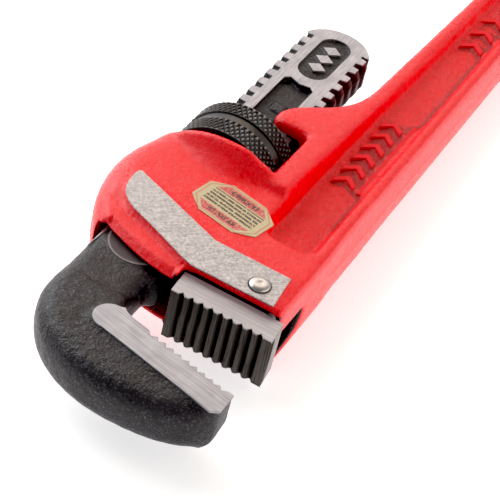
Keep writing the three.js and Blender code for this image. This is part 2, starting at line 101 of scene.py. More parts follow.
# ---- Materials ----------------------------------------------------------------------
class Finish:
    """A procedural material whose patterns are fixed to the piece."""

    def __init__(self, name, color, **sockets):
        self.material = bpy.data.materials.new(name)
        self.material.use_nodes = True
        self.nodes = self.material.node_tree.nodes
        self.shader = self.nodes["Principled BSDF"]
        self.place = self.nodes.new("ShaderNodeTexCoord").outputs["Object"]
        self.feed(self.shader.inputs["Base Color"], color)
        for socket, value in sockets.items():
            self.feed(self.shader.inputs[socket.replace("_", " ")], value)

    def feed(self, socket, value):
        if isinstance(value, bpy.types.NodeSocket):
            self.material.node_tree.links.new(value, socket)
        elif isinstance(value, tuple) and len(value) == 3 and socket.type == "RGBA":
            socket.default_value = (*value, 1)
        else:
            socket.default_value = value

    def set(self, socket, value):
        self.feed(self.shader.inputs[socket], value)

    def local(self, centre=(0, 0, 0), turn=0.0, stretch=(1, 1, 1)):
        """Coordinates in mm about a point, turned about Z, then stretched."""
        shift = self.nodes.new("ShaderNodeVectorMath")
        shift.operation = "SUBTRACT"
        self.feed(shift.inputs[0], self.place)
        shift.inputs[1].default_value = at(*centre)
        rotate = self.nodes.new("ShaderNodeVectorRotate")
        rotate.rotation_type = "Z_AXIS"
        self.feed(rotate.inputs["Vector"], shift.outputs[0])
        rotate.inputs["Angle"].default_value = turn
        scale = self.nodes.new("ShaderNodeVectorMath")
        scale.operation = "MULTIPLY"
        self.feed(scale.inputs[0], rotate.outputs[0])
        scale.inputs[1].default_value = tuple(s / MM for s in stretch)
        return scale.outputs[0]

    def noise(self, vector, scale, detail=2.0, roughness=0.5):
        node = self.nodes.new("ShaderNodeTexNoise")
        self.feed(node.inputs["Vector"], vector)
        node.inputs["Scale"].default_value = scale
        node.inputs["Detail"].default_value = detail
        node.inputs["Roughness"].default_value = roughness
        return node.outputs["Fac"]

    def axis(self, vector, index):
        node = self.nodes.new("ShaderNodeSeparateXYZ")
        self.feed(node.inputs[0], vector)
        return node.outputs[index]

    def math(self, operation, a, b=0.0):
        node = self.nodes.new("ShaderNodeMath")
        node.operation = operation
        self.feed(node.inputs[0], a)
        self.feed(node.inputs[1], b)
        return node.outputs[0]

    def distance(self, vector, first, second):
        """Distance from an axis, from two of a vector's coordinates."""
        squares = [self.math("POWER", self.axis(vector, index), 2.0) for index in (first, second)]
        return self.math("SQRT", self.math("ADD", *squares))

    def ramp(self, value, low, high, out_low=0.0, out_high=1.0):
        node = self.nodes.new("ShaderNodeMapRange")
        node.interpolation_type = "SMOOTHSTEP"
        self.feed(node.inputs["Value"], value)
        set_range(node, low, high, out_low, out_high)
        return node.outputs["Result"]

    def mix(self, share, a, b):
        node = self.nodes.new("ShaderNodeMix")
        node.data_type = "RGBA"
        self.feed(node.inputs[0], share)
        self.feed(node.inputs[6], a)
        self.feed(node.inputs[7], b)
        return node.outputs[2]

    def inside(self, bounds):
        """1 inside a box given in mm from the working origin: x, y and |z| ranges."""
        place = self.local()
        share = 1.0
        for index, (low, high) in enumerate(bounds):
            value = self.axis(place, index)
            if index == 2:
                value = self.math("ABSOLUTE", value)
            share = self.math("MULTIPLY", share, self.math("GREATER_THAN", value, low))
            share = self.math("MULTIPLY", share, self.math("LESS_THAN", value, high))
        return share

    def bump(self, height, depth_mm, strength=1.0):
        node = self.nodes.new("ShaderNodeBump")
        node.inputs["Strength"].default_value = strength
        node.inputs["Distance"].default_value = depth_mm * MM
        self.feed(node.inputs["Height"], height)
        self.feed(self.shader.inputs["Normal"], node.outputs["Normal"])


def red_paint():
    """Thick glossy enamel over sand-cast iron, grainier in the handle's recess, with darker specks there,
    painted shade in the grain's valleys, at the foot of the raised marks and inside the heel jaw's slot,
    and painted glints on the grain's peaks.
    """
    finish = Finish("red_paint", (0.9, 0.004, 0.01), Roughness=0.3)
    place = finish.local()
    lengthwise, forward = finish.axis(place, 0), finish.axis(place, 1)
    depth = finish.math("ABSOLUTE", finish.axis(place, 2))
    recess = finish.ramp(depth, 6.6, 8.2, 1.0, 0.0)
    tone = finish.noise(place, 0.12, 3)
    peel = finish.noise(place, 0.7, 3, 0.62)
    grain = finish.noise(place, 1.7, 3, 0.65)
    fresh = finish.mix(finish.ramp(tone, 0.3, 0.7), (0.95, 0.0035, 0.013), (1.0, 0.005, 0.016))
    share = finish.math("ADD", finish.math("MULTIPLY", recess, 0.3), 0.7)
    # painted shade: the grain's valleys are coloured darker, more so in the recess
    pit_shade = finish.math("MULTIPLY", finish.ramp(grain, 0.32, 0.46, 1.0, 0.0), share)
    fresh = finish.mix(pit_shade, fresh, (0.6, 0.001, 0.004))
    # painted glints: the grain's peaks are coloured pale pink, more so in the recess
    peak_glints = finish.math("MULTIPLY", finish.ramp(grain, 0.53, 0.68), share)
    fresh = finish.mix(peak_glints, fresh, (1.0, 0.085, 0.07))
    # darker specks in the recess, strongest near its front wall
    specks = finish.ramp(grain, 0.5, 0.66)
    near_front = finish.ramp(forward, -4.5, 3, 1.0, 0.2)
    dark_specks = finish.math("MULTIPLY", finish.math("MULTIPLY", specks, recess), near_front)
    # painted shade: a darker band round the foot of the raised marks on the web
    foot = finish.math("MULTIPLY", finish.ramp(depth, WEB_HEIGHT + 0.05, WEB_HEIGHT + 0.25),
                       finish.ramp(depth, MARK_HEIGHT - 0.45, MARK_HEIGHT - 0.15, 1.0, 0.0))
    slanted = finish.math("ADD", forward, finish.math("MULTIPLY", lengthwise, 0.03))
    foot = finish.math("MULTIPLY", foot, finish.ramp(slanted, 9.3, 9.7, 1.0, 0.0))
    foot = finish.math("MULTIPLY", foot, finish.ramp(lengthwise, 40, 46))
    # painted shade: the inside of the heel jaw's slot is coloured near-black
    inside = finish.inside(SLOT_CAVITY)
    # the darker specks and the painted shade at the marks' foot, mixed as one darkening
    specks_and_shade = finish.math("MAXIMUM", finish.math("MULTIPLY", dark_specks, 0.5), finish.math("MULTIPLY", foot, 0.75))
    color = finish.mix(specks_and_shade, fresh, (0.3, 0.004, 0.007))
    finish.set("Base Color", finish.mix(inside, color, (0.012, 0.006, 0.006)))
    finish.set("Roughness", finish.ramp(finish.noise(place, 0.5, 2), 0.3, 0.7, 0.22, 0.3))
    rougher = finish.math("ADD", finish.math("MULTIPLY", recess, 0.6), 0.8)
    grain_height = finish.math("MULTIPLY", grain, rougher)
    normal = finish.nodes.new("ShaderNodeTexCoord").outputs["Normal"]
    smooth_wall = finish.ramp(finish.axis(normal, 1), -0.95, -0.6, 0.25, 1.0)
    peel_height = finish.math("MULTIPLY", peel, 0.8)
    height = finish.math("MULTIPLY", finish.math("ADD", peel_height, grain_height), smooth_wall)
    finish.bump(height, 0.31, 1.0)
    return finish.material


def ground_casting():
    """Cast iron ground flat: pale and mottled, with a dark joint round the pin's head."""
    finish = Finish("ground_casting", (0.6, 0.59, 0.56), Metallic=0.5, Roughness=0.55)
    place = finish.local()
    streaks = finish.noise(finish.local(turn=0.9, stretch=(0.3, 2.0, 1)), 1.0, 4, 0.7)
    mottle = finish.noise(place, 1.1, 4, 0.75)
    tone = finish.math("ADD", finish.math("MULTIPLY", mottle, 0.6), finish.math("MULTIPLY", streaks, 0.4))
    bare = finish.mix(finish.ramp(tone, 0.36, 0.64), (0.34, 0.315, 0.31), (0.67, 0.635, 0.635))
    away = finish.distance(place, 0, 1)
    finish.set("Base Color", finish.mix(finish.ramp(away, 3.4, 3.9), (0.05, 0.04, 0.035), bare))
    finish.set("Roughness", finish.ramp(tone, 0.35, 0.65, 0.62, 0.48))
    finish.bump(tone, 0.25, 0.8)
    return finish.material


def black_forging():
    """Black oxide over a shot-blasted forging, with a faint glitter of small facets painted into its
    colour as pale specks.
    """
    finish = Finish("black_forging", (0.02, 0.017, 0.02), Metallic=0.2, Roughness=0.4)
    place = finish.local()
    speck = finish.noise(place, 1.5, 3, 0.7)
    dents = finish.noise(place, 0.4, 4, 0.6)
    cloud = finish.ramp(finish.noise(place, 0.07, 2), 0.35, 0.65)
    dull = finish.mix(cloud, (0.009, 0.007, 0.008), (0.019, 0.017, 0.021))
    # painted glints: pale specks in the colour stand for light off small facets
    glint = finish.ramp(speck, 0.53, 0.66, 0.0, 0.85)
    finish.set("Base Color", finish.mix(glint, dull, (0.088, 0.08, 0.096)))
    finish.set("Roughness", finish.ramp(speck, 0.35, 0.7, 0.44, 0.3))
    height = finish.math("ADD", finish.math("MULTIPLY", speck, 0.4), dents)
    finish.bump(height, 0.5, 1.0)
    return finish.material


def ground_forging(name, turn, pale, long_scale=0.05):
    """A bare ground face whose grinding lines run one way."""
    finish = Finish(name, (pale, pale, pale), Metallic=0.6, Roughness=0.5)
    lines = finish.noise(finish.local(turn=turn, stretch=(long_scale, 2.0, 1)), 1.0, 4, 0.65)
    cloud = finish.noise(finish.local(), 0.25, 3)
    tone = finish.math("ADD", finish.math("MULTIPLY", lines, 0.75), finish.math("MULTIPLY", cloud, 0.25))
    dark_line, pale_line = [(v, v * 0.98, v * 1.07) for v in (pale * 0.8, pale * 1.15)]
    finish.set("Base Color", finish.mix(finish.ramp(tone, 0.34, 0.66), dark_line, pale_line))
    finish.set("Roughness", finish.ramp(tone, 0.35, 0.65, 0.56, 0.42))
    finish.bump(lines, 0.04, 0.5)
    return finish.material


def forged_disc():
    """The darker ground disc on the hook's neck, with a highlight painted bright round its rim."""
    finish = Finish("forged_disc", (0.06, 0.05, 0.052), Metallic=0.3, Roughness=0.55)
    place = finish.local((*DISC_CENTRE, 0))
    away = finish.distance(place, 0, 1)
    # painted highlight: a bright ring round the disc's rim
    pale_crest_and_highlight = finish.ramp(away, 8.7, 9.2)
    finish.set("Base Color", finish.mix(pale_crest_and_highlight, (0.075, 0.058, 0.064), (0.26, 0.25, 0.26)))
    finish.bump(finish.noise(place, 0.8, 3), 0.05, 0.5)
    return finish.material


def heel_steel():
    """A dark heat-treated tooth face with paler crests, and pale ground sides."""
    finish = Finish("heel_steel", (0.5, 0.5, 0.5), Metallic=0.3, Roughness=0.45)
    normal = finish.nodes.new("ShaderNodeTexCoord").outputs["Normal"]
    place = finish.local()
    toothed = finish.ramp(finish.axis(normal, 0), -0.3, -0.2, 1.0, 0.0)
    crest = finish.ramp(finish.axis(place, 0), TOOTH_TIP_X + 0.1, TOOTH_TIP_X + 0.5, 1.0, 0.0)
    marks = finish.noise(finish.local(stretch=(3, 3, 0.12)), 0.8, 4, 0.65)
    dark = finish.mix(finish.ramp(marks, 0.35, 0.65), (0.012, 0.01, 0.009), (0.04, 0.032, 0.028))
    # paler marks along the teeth's crests
    pale_crest_and_highlight = finish.math("MULTIPLY", crest, finish.ramp(marks, 0.3, 0.6))
    dark = finish.mix(pale_crest_and_highlight, dark, (0.11, 0.092, 0.08))
    haze = finish.noise(place, 0.2, 3)
    pale = finish.mix(finish.ramp(haze, 0.3, 0.7), (0.3, 0.29, 0.29), (0.42, 0.41, 0.41))
    finish.set("Base Color", finish.mix(toothed, pale, dark))
    finish.set("Roughness", finish.ramp(marks, 0.3, 0.7, 0.45, 0.55))
    finish.bump(marks, 0.05, 0.4)
    return finish.material


def ground_heel():
    """The heel jaw's ground top and bottom, coloured black as painted shadow where they run in under the
    housing's cheeks.
    """
    finish = Finish("ground_heel", (0.5, 0.49, 0.485), Metallic=0.5, Roughness=0.5)
    place = finish.local()
    lines = finish.noise(finish.local(stretch=(2.2, 0.06, 1)), 1.0, 3)
    pale = finish.mix(finish.ramp(lines, 0.3, 0.7), (0.39, 0.375, 0.395), (0.52, 0.505, 0.53))
    # painted shadow: black on the top and bottom where they pass under the cheeks' edges
    ground = finish.ramp(finish.axis(place, 0), -6.1, -5.8, 1.0, 0.0)
    finish.set("Base Color", finish.mix(ground, (0.012, 0.01, 0.01), pale))
    finish.bump(lines, 0.03, 0.4)
    return finish.material


def plain_metal(name, color, roughness, metal=0.95, wear_scale=0.6):
    finish = Finish(name, color, Metallic=metal, Roughness=roughness)
    cloud = finish.noise(finish.local(), wear_scale, 4, 0.6)
    finish.set("Roughness", finish.ramp(cloud, 0.3, 0.7, roughness * 0.8, roughness * 1.3))
    finish.bump(cloud, 0.03, 0.4)
    return finish.material


def nut_black():
    """Black oxide, paler on the knurl's points, with a painted sheen across the smooth groove."""
    finish = Finish("nut_black", (0.02, 0.02, 0.022), Metallic=0.4, Roughness=0.36)
    place = finish.local((0, NUT_AXIS_Y, 0))
    radius = finish.distance(place, 1, 2)
    cloud = finish.noise(place, 0.8, 3)
    point = finish.ramp(radius, NUT_RADIUS - 0.3, NUT_RADIUS - 0.06)
    # paler on the knurl's points
    pale_crest_and_highlight = finish.math("MULTIPLY", point, finish.ramp(cloud, 0.3, 0.55, 0.35, 1.0))
    off_middle = finish.math("SUBTRACT", finish.axis(place, 0), NUT_MIDDLE)
    off_middle = finish.math("ABSOLUTE", off_middle)
    # painted sheen: the smooth groove is coloured paler across its middle
    groove = finish.ramp(off_middle, 1.2, 1.5, 0.24, 0.0)
    groove = finish.math("MULTIPLY", groove, finish.ramp(radius, 17.5, 17.9))
    pale = finish.math("MAXIMUM", pale_crest_and_highlight, groove)
    finish.set("Base Color", finish.mix(pale, (0.012, 0.01, 0.011), (0.21, 0.19, 0.185)))
    finish.set("Roughness", finish.ramp(cloud, 0.3, 0.7, 0.3, 0.42))
    finish.bump(cloud, 0.05, 0.4)
    return finish.material


LABEL_CENTRE = (25.1, 22.9, 11.9)
LABEL_LEAN = 0.197       # turn about the upright axis, radians
LABEL_HALF = (8.5, 12.7)
LABEL_CORNER = 0.52      # where the octagon's corners are cut, as a share of its half sizes


def label_print():
    """A cream octagon with a thin rule, two red patches and rows of plain broken bars."""
    finish = Finish("label_print", (0.75, 0.66, 0.42), Roughness=0.45)
    place = finish.local(LABEL_CENTRE, LABEL_LEAN)
    across, along = finish.axis(place, 0), finish.axis(place, 1)
    away = finish.math("ABSOLUTE", across)
    reach = finish.math("ABSOLUTE", along)
    cream = finish.mix(finish.noise(place, 0.8, 3), (0.5, 0.4, 0.22), (0.7, 0.6, 0.38))
    patch = finish.math("MULTIPLY", finish.ramp(away, 3.9, 4.2), finish.ramp(away, 7.1, 7.4, 1.0, 0.0))
    corner = finish.math("ADD", reach, away)
    patch = finish.math("MULTIPLY", patch, finish.ramp(corner, 13.6, 14.0, 1.0, 0.0))
    patch = finish.math("MULTIPLY", patch, finish.ramp(finish.noise(place, 1.3, 2), 0.4, 0.5, 0.45, 1.0))
    color = finish.mix(patch, cream, (0.62, 0.07, 0.08))
    edge = finish.math("MAXIMUM", finish.math("MULTIPLY", away, 1.5), reach)
    edge = finish.math("MAXIMUM", edge, finish.math("MULTIPLY", corner, 0.76))
    rule = finish.math("MULTIPLY", finish.ramp(edge, 11.3, 11.5), finish.ramp(edge, 11.8, 12.0, 1.0, 0.0))
    color = finish.mix(finish.math("MULTIPLY", rule, 0.6), color, (0.5, 0.1, 0.06))
    row = finish.math("PINGPONG", finish.math("ADD", across, 20.0), 0.76)
    line = finish.ramp(row, 0.26, 0.36)
    words = finish.noise(finish.local(LABEL_CENTRE, LABEL_LEAN, (0.6, 1.7, 0)), 1.0, 1, 0.5)
    bars = finish.math("MULTIPLY", line, finish.ramp(words, 0.38, 0.42))
    bars = finish.math("MULTIPLY", bars, finish.ramp(away, 3.5, 3.7, 1.0, 0.0))
    bars = finish.math("MULTIPLY", bars, finish.ramp(reach, 9.4, 9.8, 1.0, 0.0))
    color = finish.mix(finish.math("MULTIPLY", bars, 0.92), color, (0.05, 0.035, 0.025))
    block = finish.math("MULTIPLY", finish.ramp(away, 4.5, 4.7), finish.ramp(away, 6.3, 6.5, 1.0, 0.0))
    block = finish.math("MULTIPLY", block, finish.ramp(words, 0.46, 0.52))
    block = finish.math("MULTIPLY", block, finish.ramp(reach, 5.2, 5.6, 1.0, 0.0))
    color = finish.mix(block, color, (0.09, 0.03, 0.03))
    finish.set("Base Color", color)
    finish.bump(finish.noise(place, 1.2, 2), 0.04, 0.4)
    return finish.material


# ---- Mesh tools ---------------------------------------------------------------------
def piece(name, mesh, body, slot, *materials, replaces=()):
    obj = bpy.data.objects.new(name, mesh)
    bpy.context.scene.collection.objects.link(obj)
    mesh.materials.clear()
    for material in materials:
        mesh.materials.append(material)
    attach(obj, body)
    if replaces:
        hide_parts(*replaces)
    return obj


def cad_bmesh(node):
    """A CAD node's mesh with its split vertices joined."""
    bm = bmesh.new()
    bm.from_mesh(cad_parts[node].data)
    bmesh.ops.remove_doubles(bm, verts=bm.verts, dist=0.002 * MM)
    return bm


def as_mesh(bm, name, smooth_angle=None):
    mesh = bpy.data.meshes.new(name)
    bm.to_mesh(mesh)
    bm.free()
    if smooth_angle is not None:
        mesh.shade_smooth()
        mesh.set_sharp_from_angle(angle=math.radians(smooth_angle))
    return mesh


def remeshed(node, voxel_mm):
    """A copy of a CAD node in small even faces."""
    source = as_mesh(cad_bmesh(node), node + "_source")
    helper = bpy.data.objects.new(node + "_helper", source)
    bpy.context.scene.collection.objects.link(helper)
    modifier = helper.modifiers.new("even", "REMESH")
    modifier.mode = "VOXEL"
    modifier.voxel_size = voxel_mm * MM
    result = bpy.data.meshes.new_from_object(helper.evaluated_get(bpy.context.evaluated_depsgraph_get()))
    bpy.data.objects.remove(helper)
    bpy.data.meshes.remove(source)
    result.name = node + "_fine"
    return result


def points_of(mesh):
    """The mesh's points as an array, in mm from the working origin."""
    flat = np.empty(len(mesh.vertices) * 3)
    mesh.vertices.foreach_get("co", flat)
    return (flat.reshape(-1, 3) - np.array(ORIGIN)) / MM


def set_points(mesh, points):
    mesh.vertices.foreach_set("co", (points * MM + np.array(ORIGIN)).ravel())
    mesh.update()


def relaxed(mesh, points, rounds, weight):
    """Move each point towards the mean of its neighbours, as far as its weight says."""
    count = len(points)
    edges = np.empty(len(mesh.edges) * 2, dtype=np.int64)
    mesh.edges.foreach_get("vertices", edges)
    start, end = edges.reshape(-1, 2).T
    degree = np.bincount(edges, minlength=count).reshape(-1, 1)
    for _ in range(rounds):
        total = np.empty_like(points)
        for axis in range(3):
            total[:, axis] = np.bincount(start, points[end, axis], count)
            total[:, axis] += np.bincount(end, points[start, axis], count)
        points = points + weight.reshape(-1, 1) * (total / degree - points)
    return points


def step(value, low, high):
    """0 below low, 1 above high, smooth between."""
    share = np.clip((value - low) / (high - low), 0, 1)
    return share * share * (3 - 2 * share)


def roughened(mesh, points, amount, size):
    """Push points along their normals by a smooth noise, for an uneven cast or forged skin."""
    normals = np.empty(len(points) * 3)
    set_points(mesh, points)
    mesh.vertices.foreach_get("normal", normals)
    swell = np.array([noise.noise(Vector(p) / size) for p in points])
    return points + normals.reshape(-1, 3) * (swell * amount).reshape(-1, 1)


def ground_plate(node, height, depth, bevel, keep=None):
    """The flat faces of a CAD node at one height, both sides, as crisp plates."""
    bm = cad_bmesh(node)
    level = ORIGIN.z
    wanted = []
    for face in bm.faces:
        centre = face.calc_center_median()
        flat = abs(face.normal.z) > 0.999 and abs(abs(centre.z - level) / MM - height) < 0.02
        if flat and (keep is None or keep((centre.x - ORIGIN.x) / MM)):
            wanted.append(face)
    kept = set(wanted)
    others = [face for face in bm.faces if face not in kept]
    bmesh.ops.delete(bm, geom=others, context="FACES")
    bmesh.ops.dissolve_limit(bm, angle_limit=math.radians(0.5), verts=bm.verts, edges=bm.edges)
    top_verts = set(bm.verts)
    made = bmesh.ops.extrude_face_region(bm, geom=list(bm.faces), use_keep_orig=True)
    for item in made["geom"]:
        if isinstance(item, bmesh.types.BMVert):
            item.co.z -= math.copysign(depth * MM, item.co.z - level)
    bmesh.ops.recalc_face_normals(bm, faces=bm.faces)
    rims = [edge for edge in bm.edges if len(edge.link_faces) == 2 and edge.calc_face_angle(0) > 1.2
            and top_verts.issuperset(edge.verts)]
    bmesh.ops.bevel(bm, geom=rims, offset=bevel * MM, segments=2, affect="EDGES", clamp_overlap=True)
    return as_mesh(bm, node + "_plate")


def lathe(profile, steps, place):
    """A turned body from [radius, height] pairs in mm; place maps (radius, angle, height) to a point."""
    bm = bmesh.new()
    rings = []
    for radius, height in profile:
        if radius == 0:
            rings.append([bm.verts.new(place(0, 0, height))])
        else:
            turns = [2 * math.pi * k / steps for k in range(steps)]
            rings.append([bm.verts.new(place(radius, turn, height)) for turn in turns])
    for lower, upper in zip(rings, rings[1:]):
        for k in range(steps):
            a, b = lower[k % len(lower)], lower[(k + 1) % len(lower)]
            c, d = upper[(k + 1) % len(upper)], upper[k % len(upper)]
            corners = [v for i, v in enumerate((a, b, c, d)) if v not in (a, b, c, d)[:i]]
            bm.faces.new(corners)
    bmesh.ops.recalc_face_normals(bm, faces=bm.faces)
    return bm


# ---- Housing and handle -------------------------------------------------------------
# Front edge of the lip and front edge of the ground strip: x at places y
LIP_Y, LIP_X = (21.6, 28.5, 35.1, 41.6, 48.4, 51), (-10.4, -9.9, -8.5, -6.3, -3.4, -1.8)
STRIP_Y, STRIP_X = (21.9, 39.2, 47.2, 52.4), (-5.4, 2, 5, 9.4)
LIP_EDGE_HEIGHT = 8.7    # |z| of the lip at its front edge
LIP_SLOPE = 0.75         # rise of the lip for each mm back from there
STRIP_RISE = 0.7         # how far the lip swells up beside the ground strip
SOFT, SOFT_PAD, SOFT_EDGE = 0.6, 0.25, 0.12   # how much an as-cast face, a pad and a thin edge soften
DRAFT = 0.05             # lean of the handle's sides for each mm of height
PARTING_RIDGE, PARTING_WIDTH = 0.14, 0.45     # ridge left along the mould's parting line
RIM_STRETCH = 0.08       # how much further the flange's rim stands up than in the CAD
CAST_SKIN = (0.07, 3.2)  # height and size of the casting's unevenness


def housing():
    mesh = remeshed("housing_handle", 0.6)
    points = points_of(mesh)
    x, y, z = points.T
    on_pad = (x < 22) & (np.abs(z) > 11.9)
    on_lip = (x < 3) & (y > 19) & (y < 53) & (np.abs(z) < 11)
    on_rim = (x > 43.5) & (x < 48) & (y > 22)
    weight = np.where(on_pad, SOFT_PAD, np.where(on_lip | on_rim, SOFT_EDGE, SOFT))
    points = relaxed(mesh, points, 14, weight)
    # the walls of the handle's recess are softer still
    points = relaxed(mesh, points, 12, SOFT * step(x, 60, 80) * (np.abs(z) > 3))
    x, y, z = points.T
    # the handle's sides lean in from the parting line at mid-height
    outer = step(np.abs(y - HANDLE_AXIS_Y), 7.5, 10) * step(x, 26, 40) * step(-x, -236, -226)
    lean = DRAFT * np.abs(z) - PARTING_RIDGE * np.exp(-((z / PARTING_WIDTH) ** 2))
    points[:, 1] -= np.sign(y - HANDLE_AXIS_Y) * lean * outer
    points = roughened(mesh, points, *CAST_SKIN)
    x, y, z = points.T
    # the lip over the hook's neck slopes down to its front edge, and rises to the ground strip
    front = np.interp(y, LIP_Y, LIP_X)
    strip = np.interp(y, STRIP_Y, STRIP_X)
    lip = (y > SLOT_END_Y) & (y < 50) & (np.abs(z) > 7.9) & (np.abs(z) < 11.2) & (x < strip - 0.1)
    slope = np.minimum(np.abs(z), LIP_EDGE_HEIGHT + LIP_SLOPE * np.clip(x - front, 0, 9))
    slope = slope + STRIP_RISE * step(x - strip, -1.6, 0) * (np.abs(z) > 10)
    points[:, 2] = np.where(lip, np.sign(z) * slope, z)
    # the flange's rim stands up close to the nut
    x, y, z = points.T
    points[:, 2] = z * (1 + RIM_STRETCH * step(x, 41, 46) * step(y, 24, 30) * (x < 47))
    x, y, z = points.T
    flat = (x < 21.6) & (y > -8) & (np.abs(z) > PAD_HEIGHT - SINK)
    points[:, 2] = np.where(flat, np.sign(z) * (PAD_HEIGHT - SINK), z)
    set_points(mesh, points)
    mesh.shade_smooth()
    return piece("housing_casting", mesh, "housing", "red_paint", red_paint(), replaces=["housing_handle"])


def web_marks():
    """The raised chevrons and rule on the web, which the softened casting has too faint."""
    mesh = ground_plate("housing_handle", MARK_HEIGHT, 1.1, 0.3)
    return piece("web_marks", mesh, "housing", "red_paint", bpy.data.materials["red_paint"])


def head_strips():
    mesh = ground_plate("housing_handle", PAD_HEIGHT, 0.3, 0.1, lambda x: x < 30)
    return piece("head_strips", mesh, "housing", "red_paint", ground_casting())


# ---- Heel jaw, its pin and the label ------------------------------------------------
heel_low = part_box("heel_jaw")[0]
TOOTH_TIP_X = (heel_low.x - ORIGIN.x) / MM
SIDE_LIFT = 0.03         # how far the ground sides stand proud of the block
PIN_DOME, PIN_HEAD, PIN_STEM = 1.0, 3.25, 2.9   # height of the head's dome, and two radii
PIN_DIMPLE = (0.3, 0.9)  # depth and radius of the punch mark in the head


def heel_jaw():
    bm = cad_bmesh("heel_jaw")
    bmesh.ops.dissolve_limit(bm, angle_limit=math.radians(0.5), verts=bm.verts, edges=bm.edges)
    sharp = [edge for edge in bm.edges if len(edge.link_faces) == 2 and edge.calc_face_angle(0) > 0.5]
    bmesh.ops.bevel(bm, geom=sharp, offset=0.16 * MM, segments=2, affect="EDGES", clamp_overlap=True)
    mesh = as_mesh(bm, "heel_jaw_block")
    sides = ground_plate("heel_jaw", GRIP_HEIGHT, 0.4, 0.1)
    swell = Matrix.Diagonal((1, 1, 1 + SIDE_LIFT / GRIP_HEIGHT, 1))
    level = Matrix.Translation(Vector((0, 0, ORIGIN.z)))
    sides.transform(level @ swell @ level.inverted())
    piece("heel_jaw_sides", sides, "housing", "heel_steel", ground_heel())
    return piece("heel_jaw_block", mesh, "housing", "heel_steel", heel_steel(), replaces=["heel_jaw"])


def heel_pin():
    base = PIN_TOP - PIN_DOME
    lip = 0.12
    profile = [[0, -PAD_HEIGHT + 0.2], [PIN_STEM - 0.3, -PAD_HEIGHT + 0.2], [PIN_STEM, -PAD_HEIGHT + 0.6],
               [PIN_STEM, base], [PIN_HEAD - 0.05, base], [PIN_HEAD, base + lip]]
    steps = 10
    for i in range(1, steps):
        share = i / steps
        radius = PIN_HEAD * math.cos(share * math.pi / 2) ** 0.85
        rise = (PIN_DOME - lip) * math.sin(share * math.pi / 2)
        dimple = PIN_DIMPLE[0] * math.exp(-((radius / PIN_DIMPLE[1]) ** 2))
        profile.append([radius, base + lip + rise - dimple])
    profile.append([0, PIN_TOP - 0.35])
    bm = lathe(profile, 64, lambda r, a, h: at(r * math.cos(a), r * math.sin(a), h))
    mesh = as_mesh(bm, "heel_pin", 50)
    bright = plain_metal("polished_steel", (0.5, 0.48, 0.475), 0.36)
    return piece("heel_pin", mesh, "housing", "bright_steel", bright, replaces=["heel_jaw_pin"])


def side_label():
    bm = bmesh.new()
    cut = LABEL_CORNER
    corners = [(1, -cut), (1, cut), (cut, 1), (-cut, 1), (-1, cut), (-1, -cut), (-cut, -1), (cut, -1)]
    turn = Matrix.Rotation(-LABEL_LEAN, 3, "Z")
    for height in (LABEL_CENTRE[2] + 0.06, LABEL_CENTRE[2] - 0.5):
        ring = []
        for u, v in corners:
            offset = turn @ Vector((u * LABEL_HALF[0], v * LABEL_HALF[1], 0))
            ring.append(bm.verts.new(at(LABEL_CENTRE[0] + offset.x, LABEL_CENTRE[1] + offset.y, height)))
        bm.faces.new(ring)
    bmesh.ops.bridge_loops(bm, edges=bm.edges)
    bmesh.ops.recalc_face_normals(bm, faces=bm.faces)
    mesh = as_mesh(bm, "side_label")
    return piece("side_label_print", mesh, "housing", "label", label_print(), replaces=["side_label"])


# ---- Hook jaw -----------------------------------------------------------------------
FORGED_SKIN = (0.09, 2.6)         # height and size of the forging's unevenness
GRIP_GRIND = math.radians(-78)    # run of the grinding lines on the gripping strips


def hook():
    mesh = remeshed("hook_jaw", 0.42)
    points = points_of(mesh)
    x, y, z = points.T
    forged = step(-x, -6, 6)
    from_disc = np.hypot(x - DISC_CENTRE[0], y - DISC_CENTRE[1])
    on_coin = (from_disc < DISC_RADIUS + 0.9) & (np.abs(z) > 6.5)
    on_strip = (x < HOOK_GRIP_RIGHT) & ((z > 8.35) | ((z < -8.35) & (y > 0)))
    toothed = (x < HOOK_GRIP_RIGHT) & (y < 16) & (x > -40.3 + (y + 14.4) * 0.2158 - 1.6)
    weight = np.where(on_coin | on_strip | toothed, 0.2, 0.25 + 0.4 * forged)
    points = relaxed(mesh, points, 5, np.full(len(points), 0.3))
    points = relaxed(mesh, points, 60, weight * forged)
    points = roughened(mesh, points, *FORGED_SKIN)
    x, y, z = points.T
    # what lies below a ground plate stays below it
    limit = np.where(x > SHANK_FLATS_LEFT, FLAT_HEIGHT - 0.08, np.inf)
    limit = np.where(x < HOOK_GRIP_RIGHT, GRIP_HEIGHT - SINK, limit)
    from_disc = np.hypot(x - DISC_CENTRE[0], y - DISC_CENTRE[1])
    limit = np.where(from_disc < DISC_RADIUS, DISC_HEIGHT - SINK, limit)
    points[:, 2] = np.clip(z, -limit, limit)
    set_points(mesh, points)
    mesh.shade_smooth()
    return piece("hook_forging", mesh, "hook", "black_forging", black_forging(), replaces=["hook_jaw"])


def hook_plates():
    strip = ground_plate("hook_jaw", GRIP_HEIGHT, 0.6, 0.1)
    piece("grip_strips", strip, "hook", "black_forging", ground_forging("ground_grip", GRIP_GRIND, 0.4))
    disc = ground_plate("hook_jaw", DISC_HEIGHT, 0.4, 0.1)
    piece("neck_disc", disc, "hook", "black_forging", forged_disc())
    flats = ground_plate("hook_jaw", FLAT_HEIGHT, 0.5, 0.08, lambda x: x > SHANK_FLATS_LEFT)
    piece("shank_flats", flats, "hook", "black_forging", ground_forging("ground_flats", 0.0, 0.42, 0.12))


# ---- Adjusting nut ------------------------------------------------------------------
KNURL_COUNT = 60         # diamonds round the nut
KNURL_LENGTH = 2.9       # length of a diamond along the nut, mm
KNURL_DEPTH = 0.6
NUT_BORE = 14.2
NUT_GROOVE = 18.3        # radius of the smooth groove between the knurled bands
GROOVE_HALF = 1.4


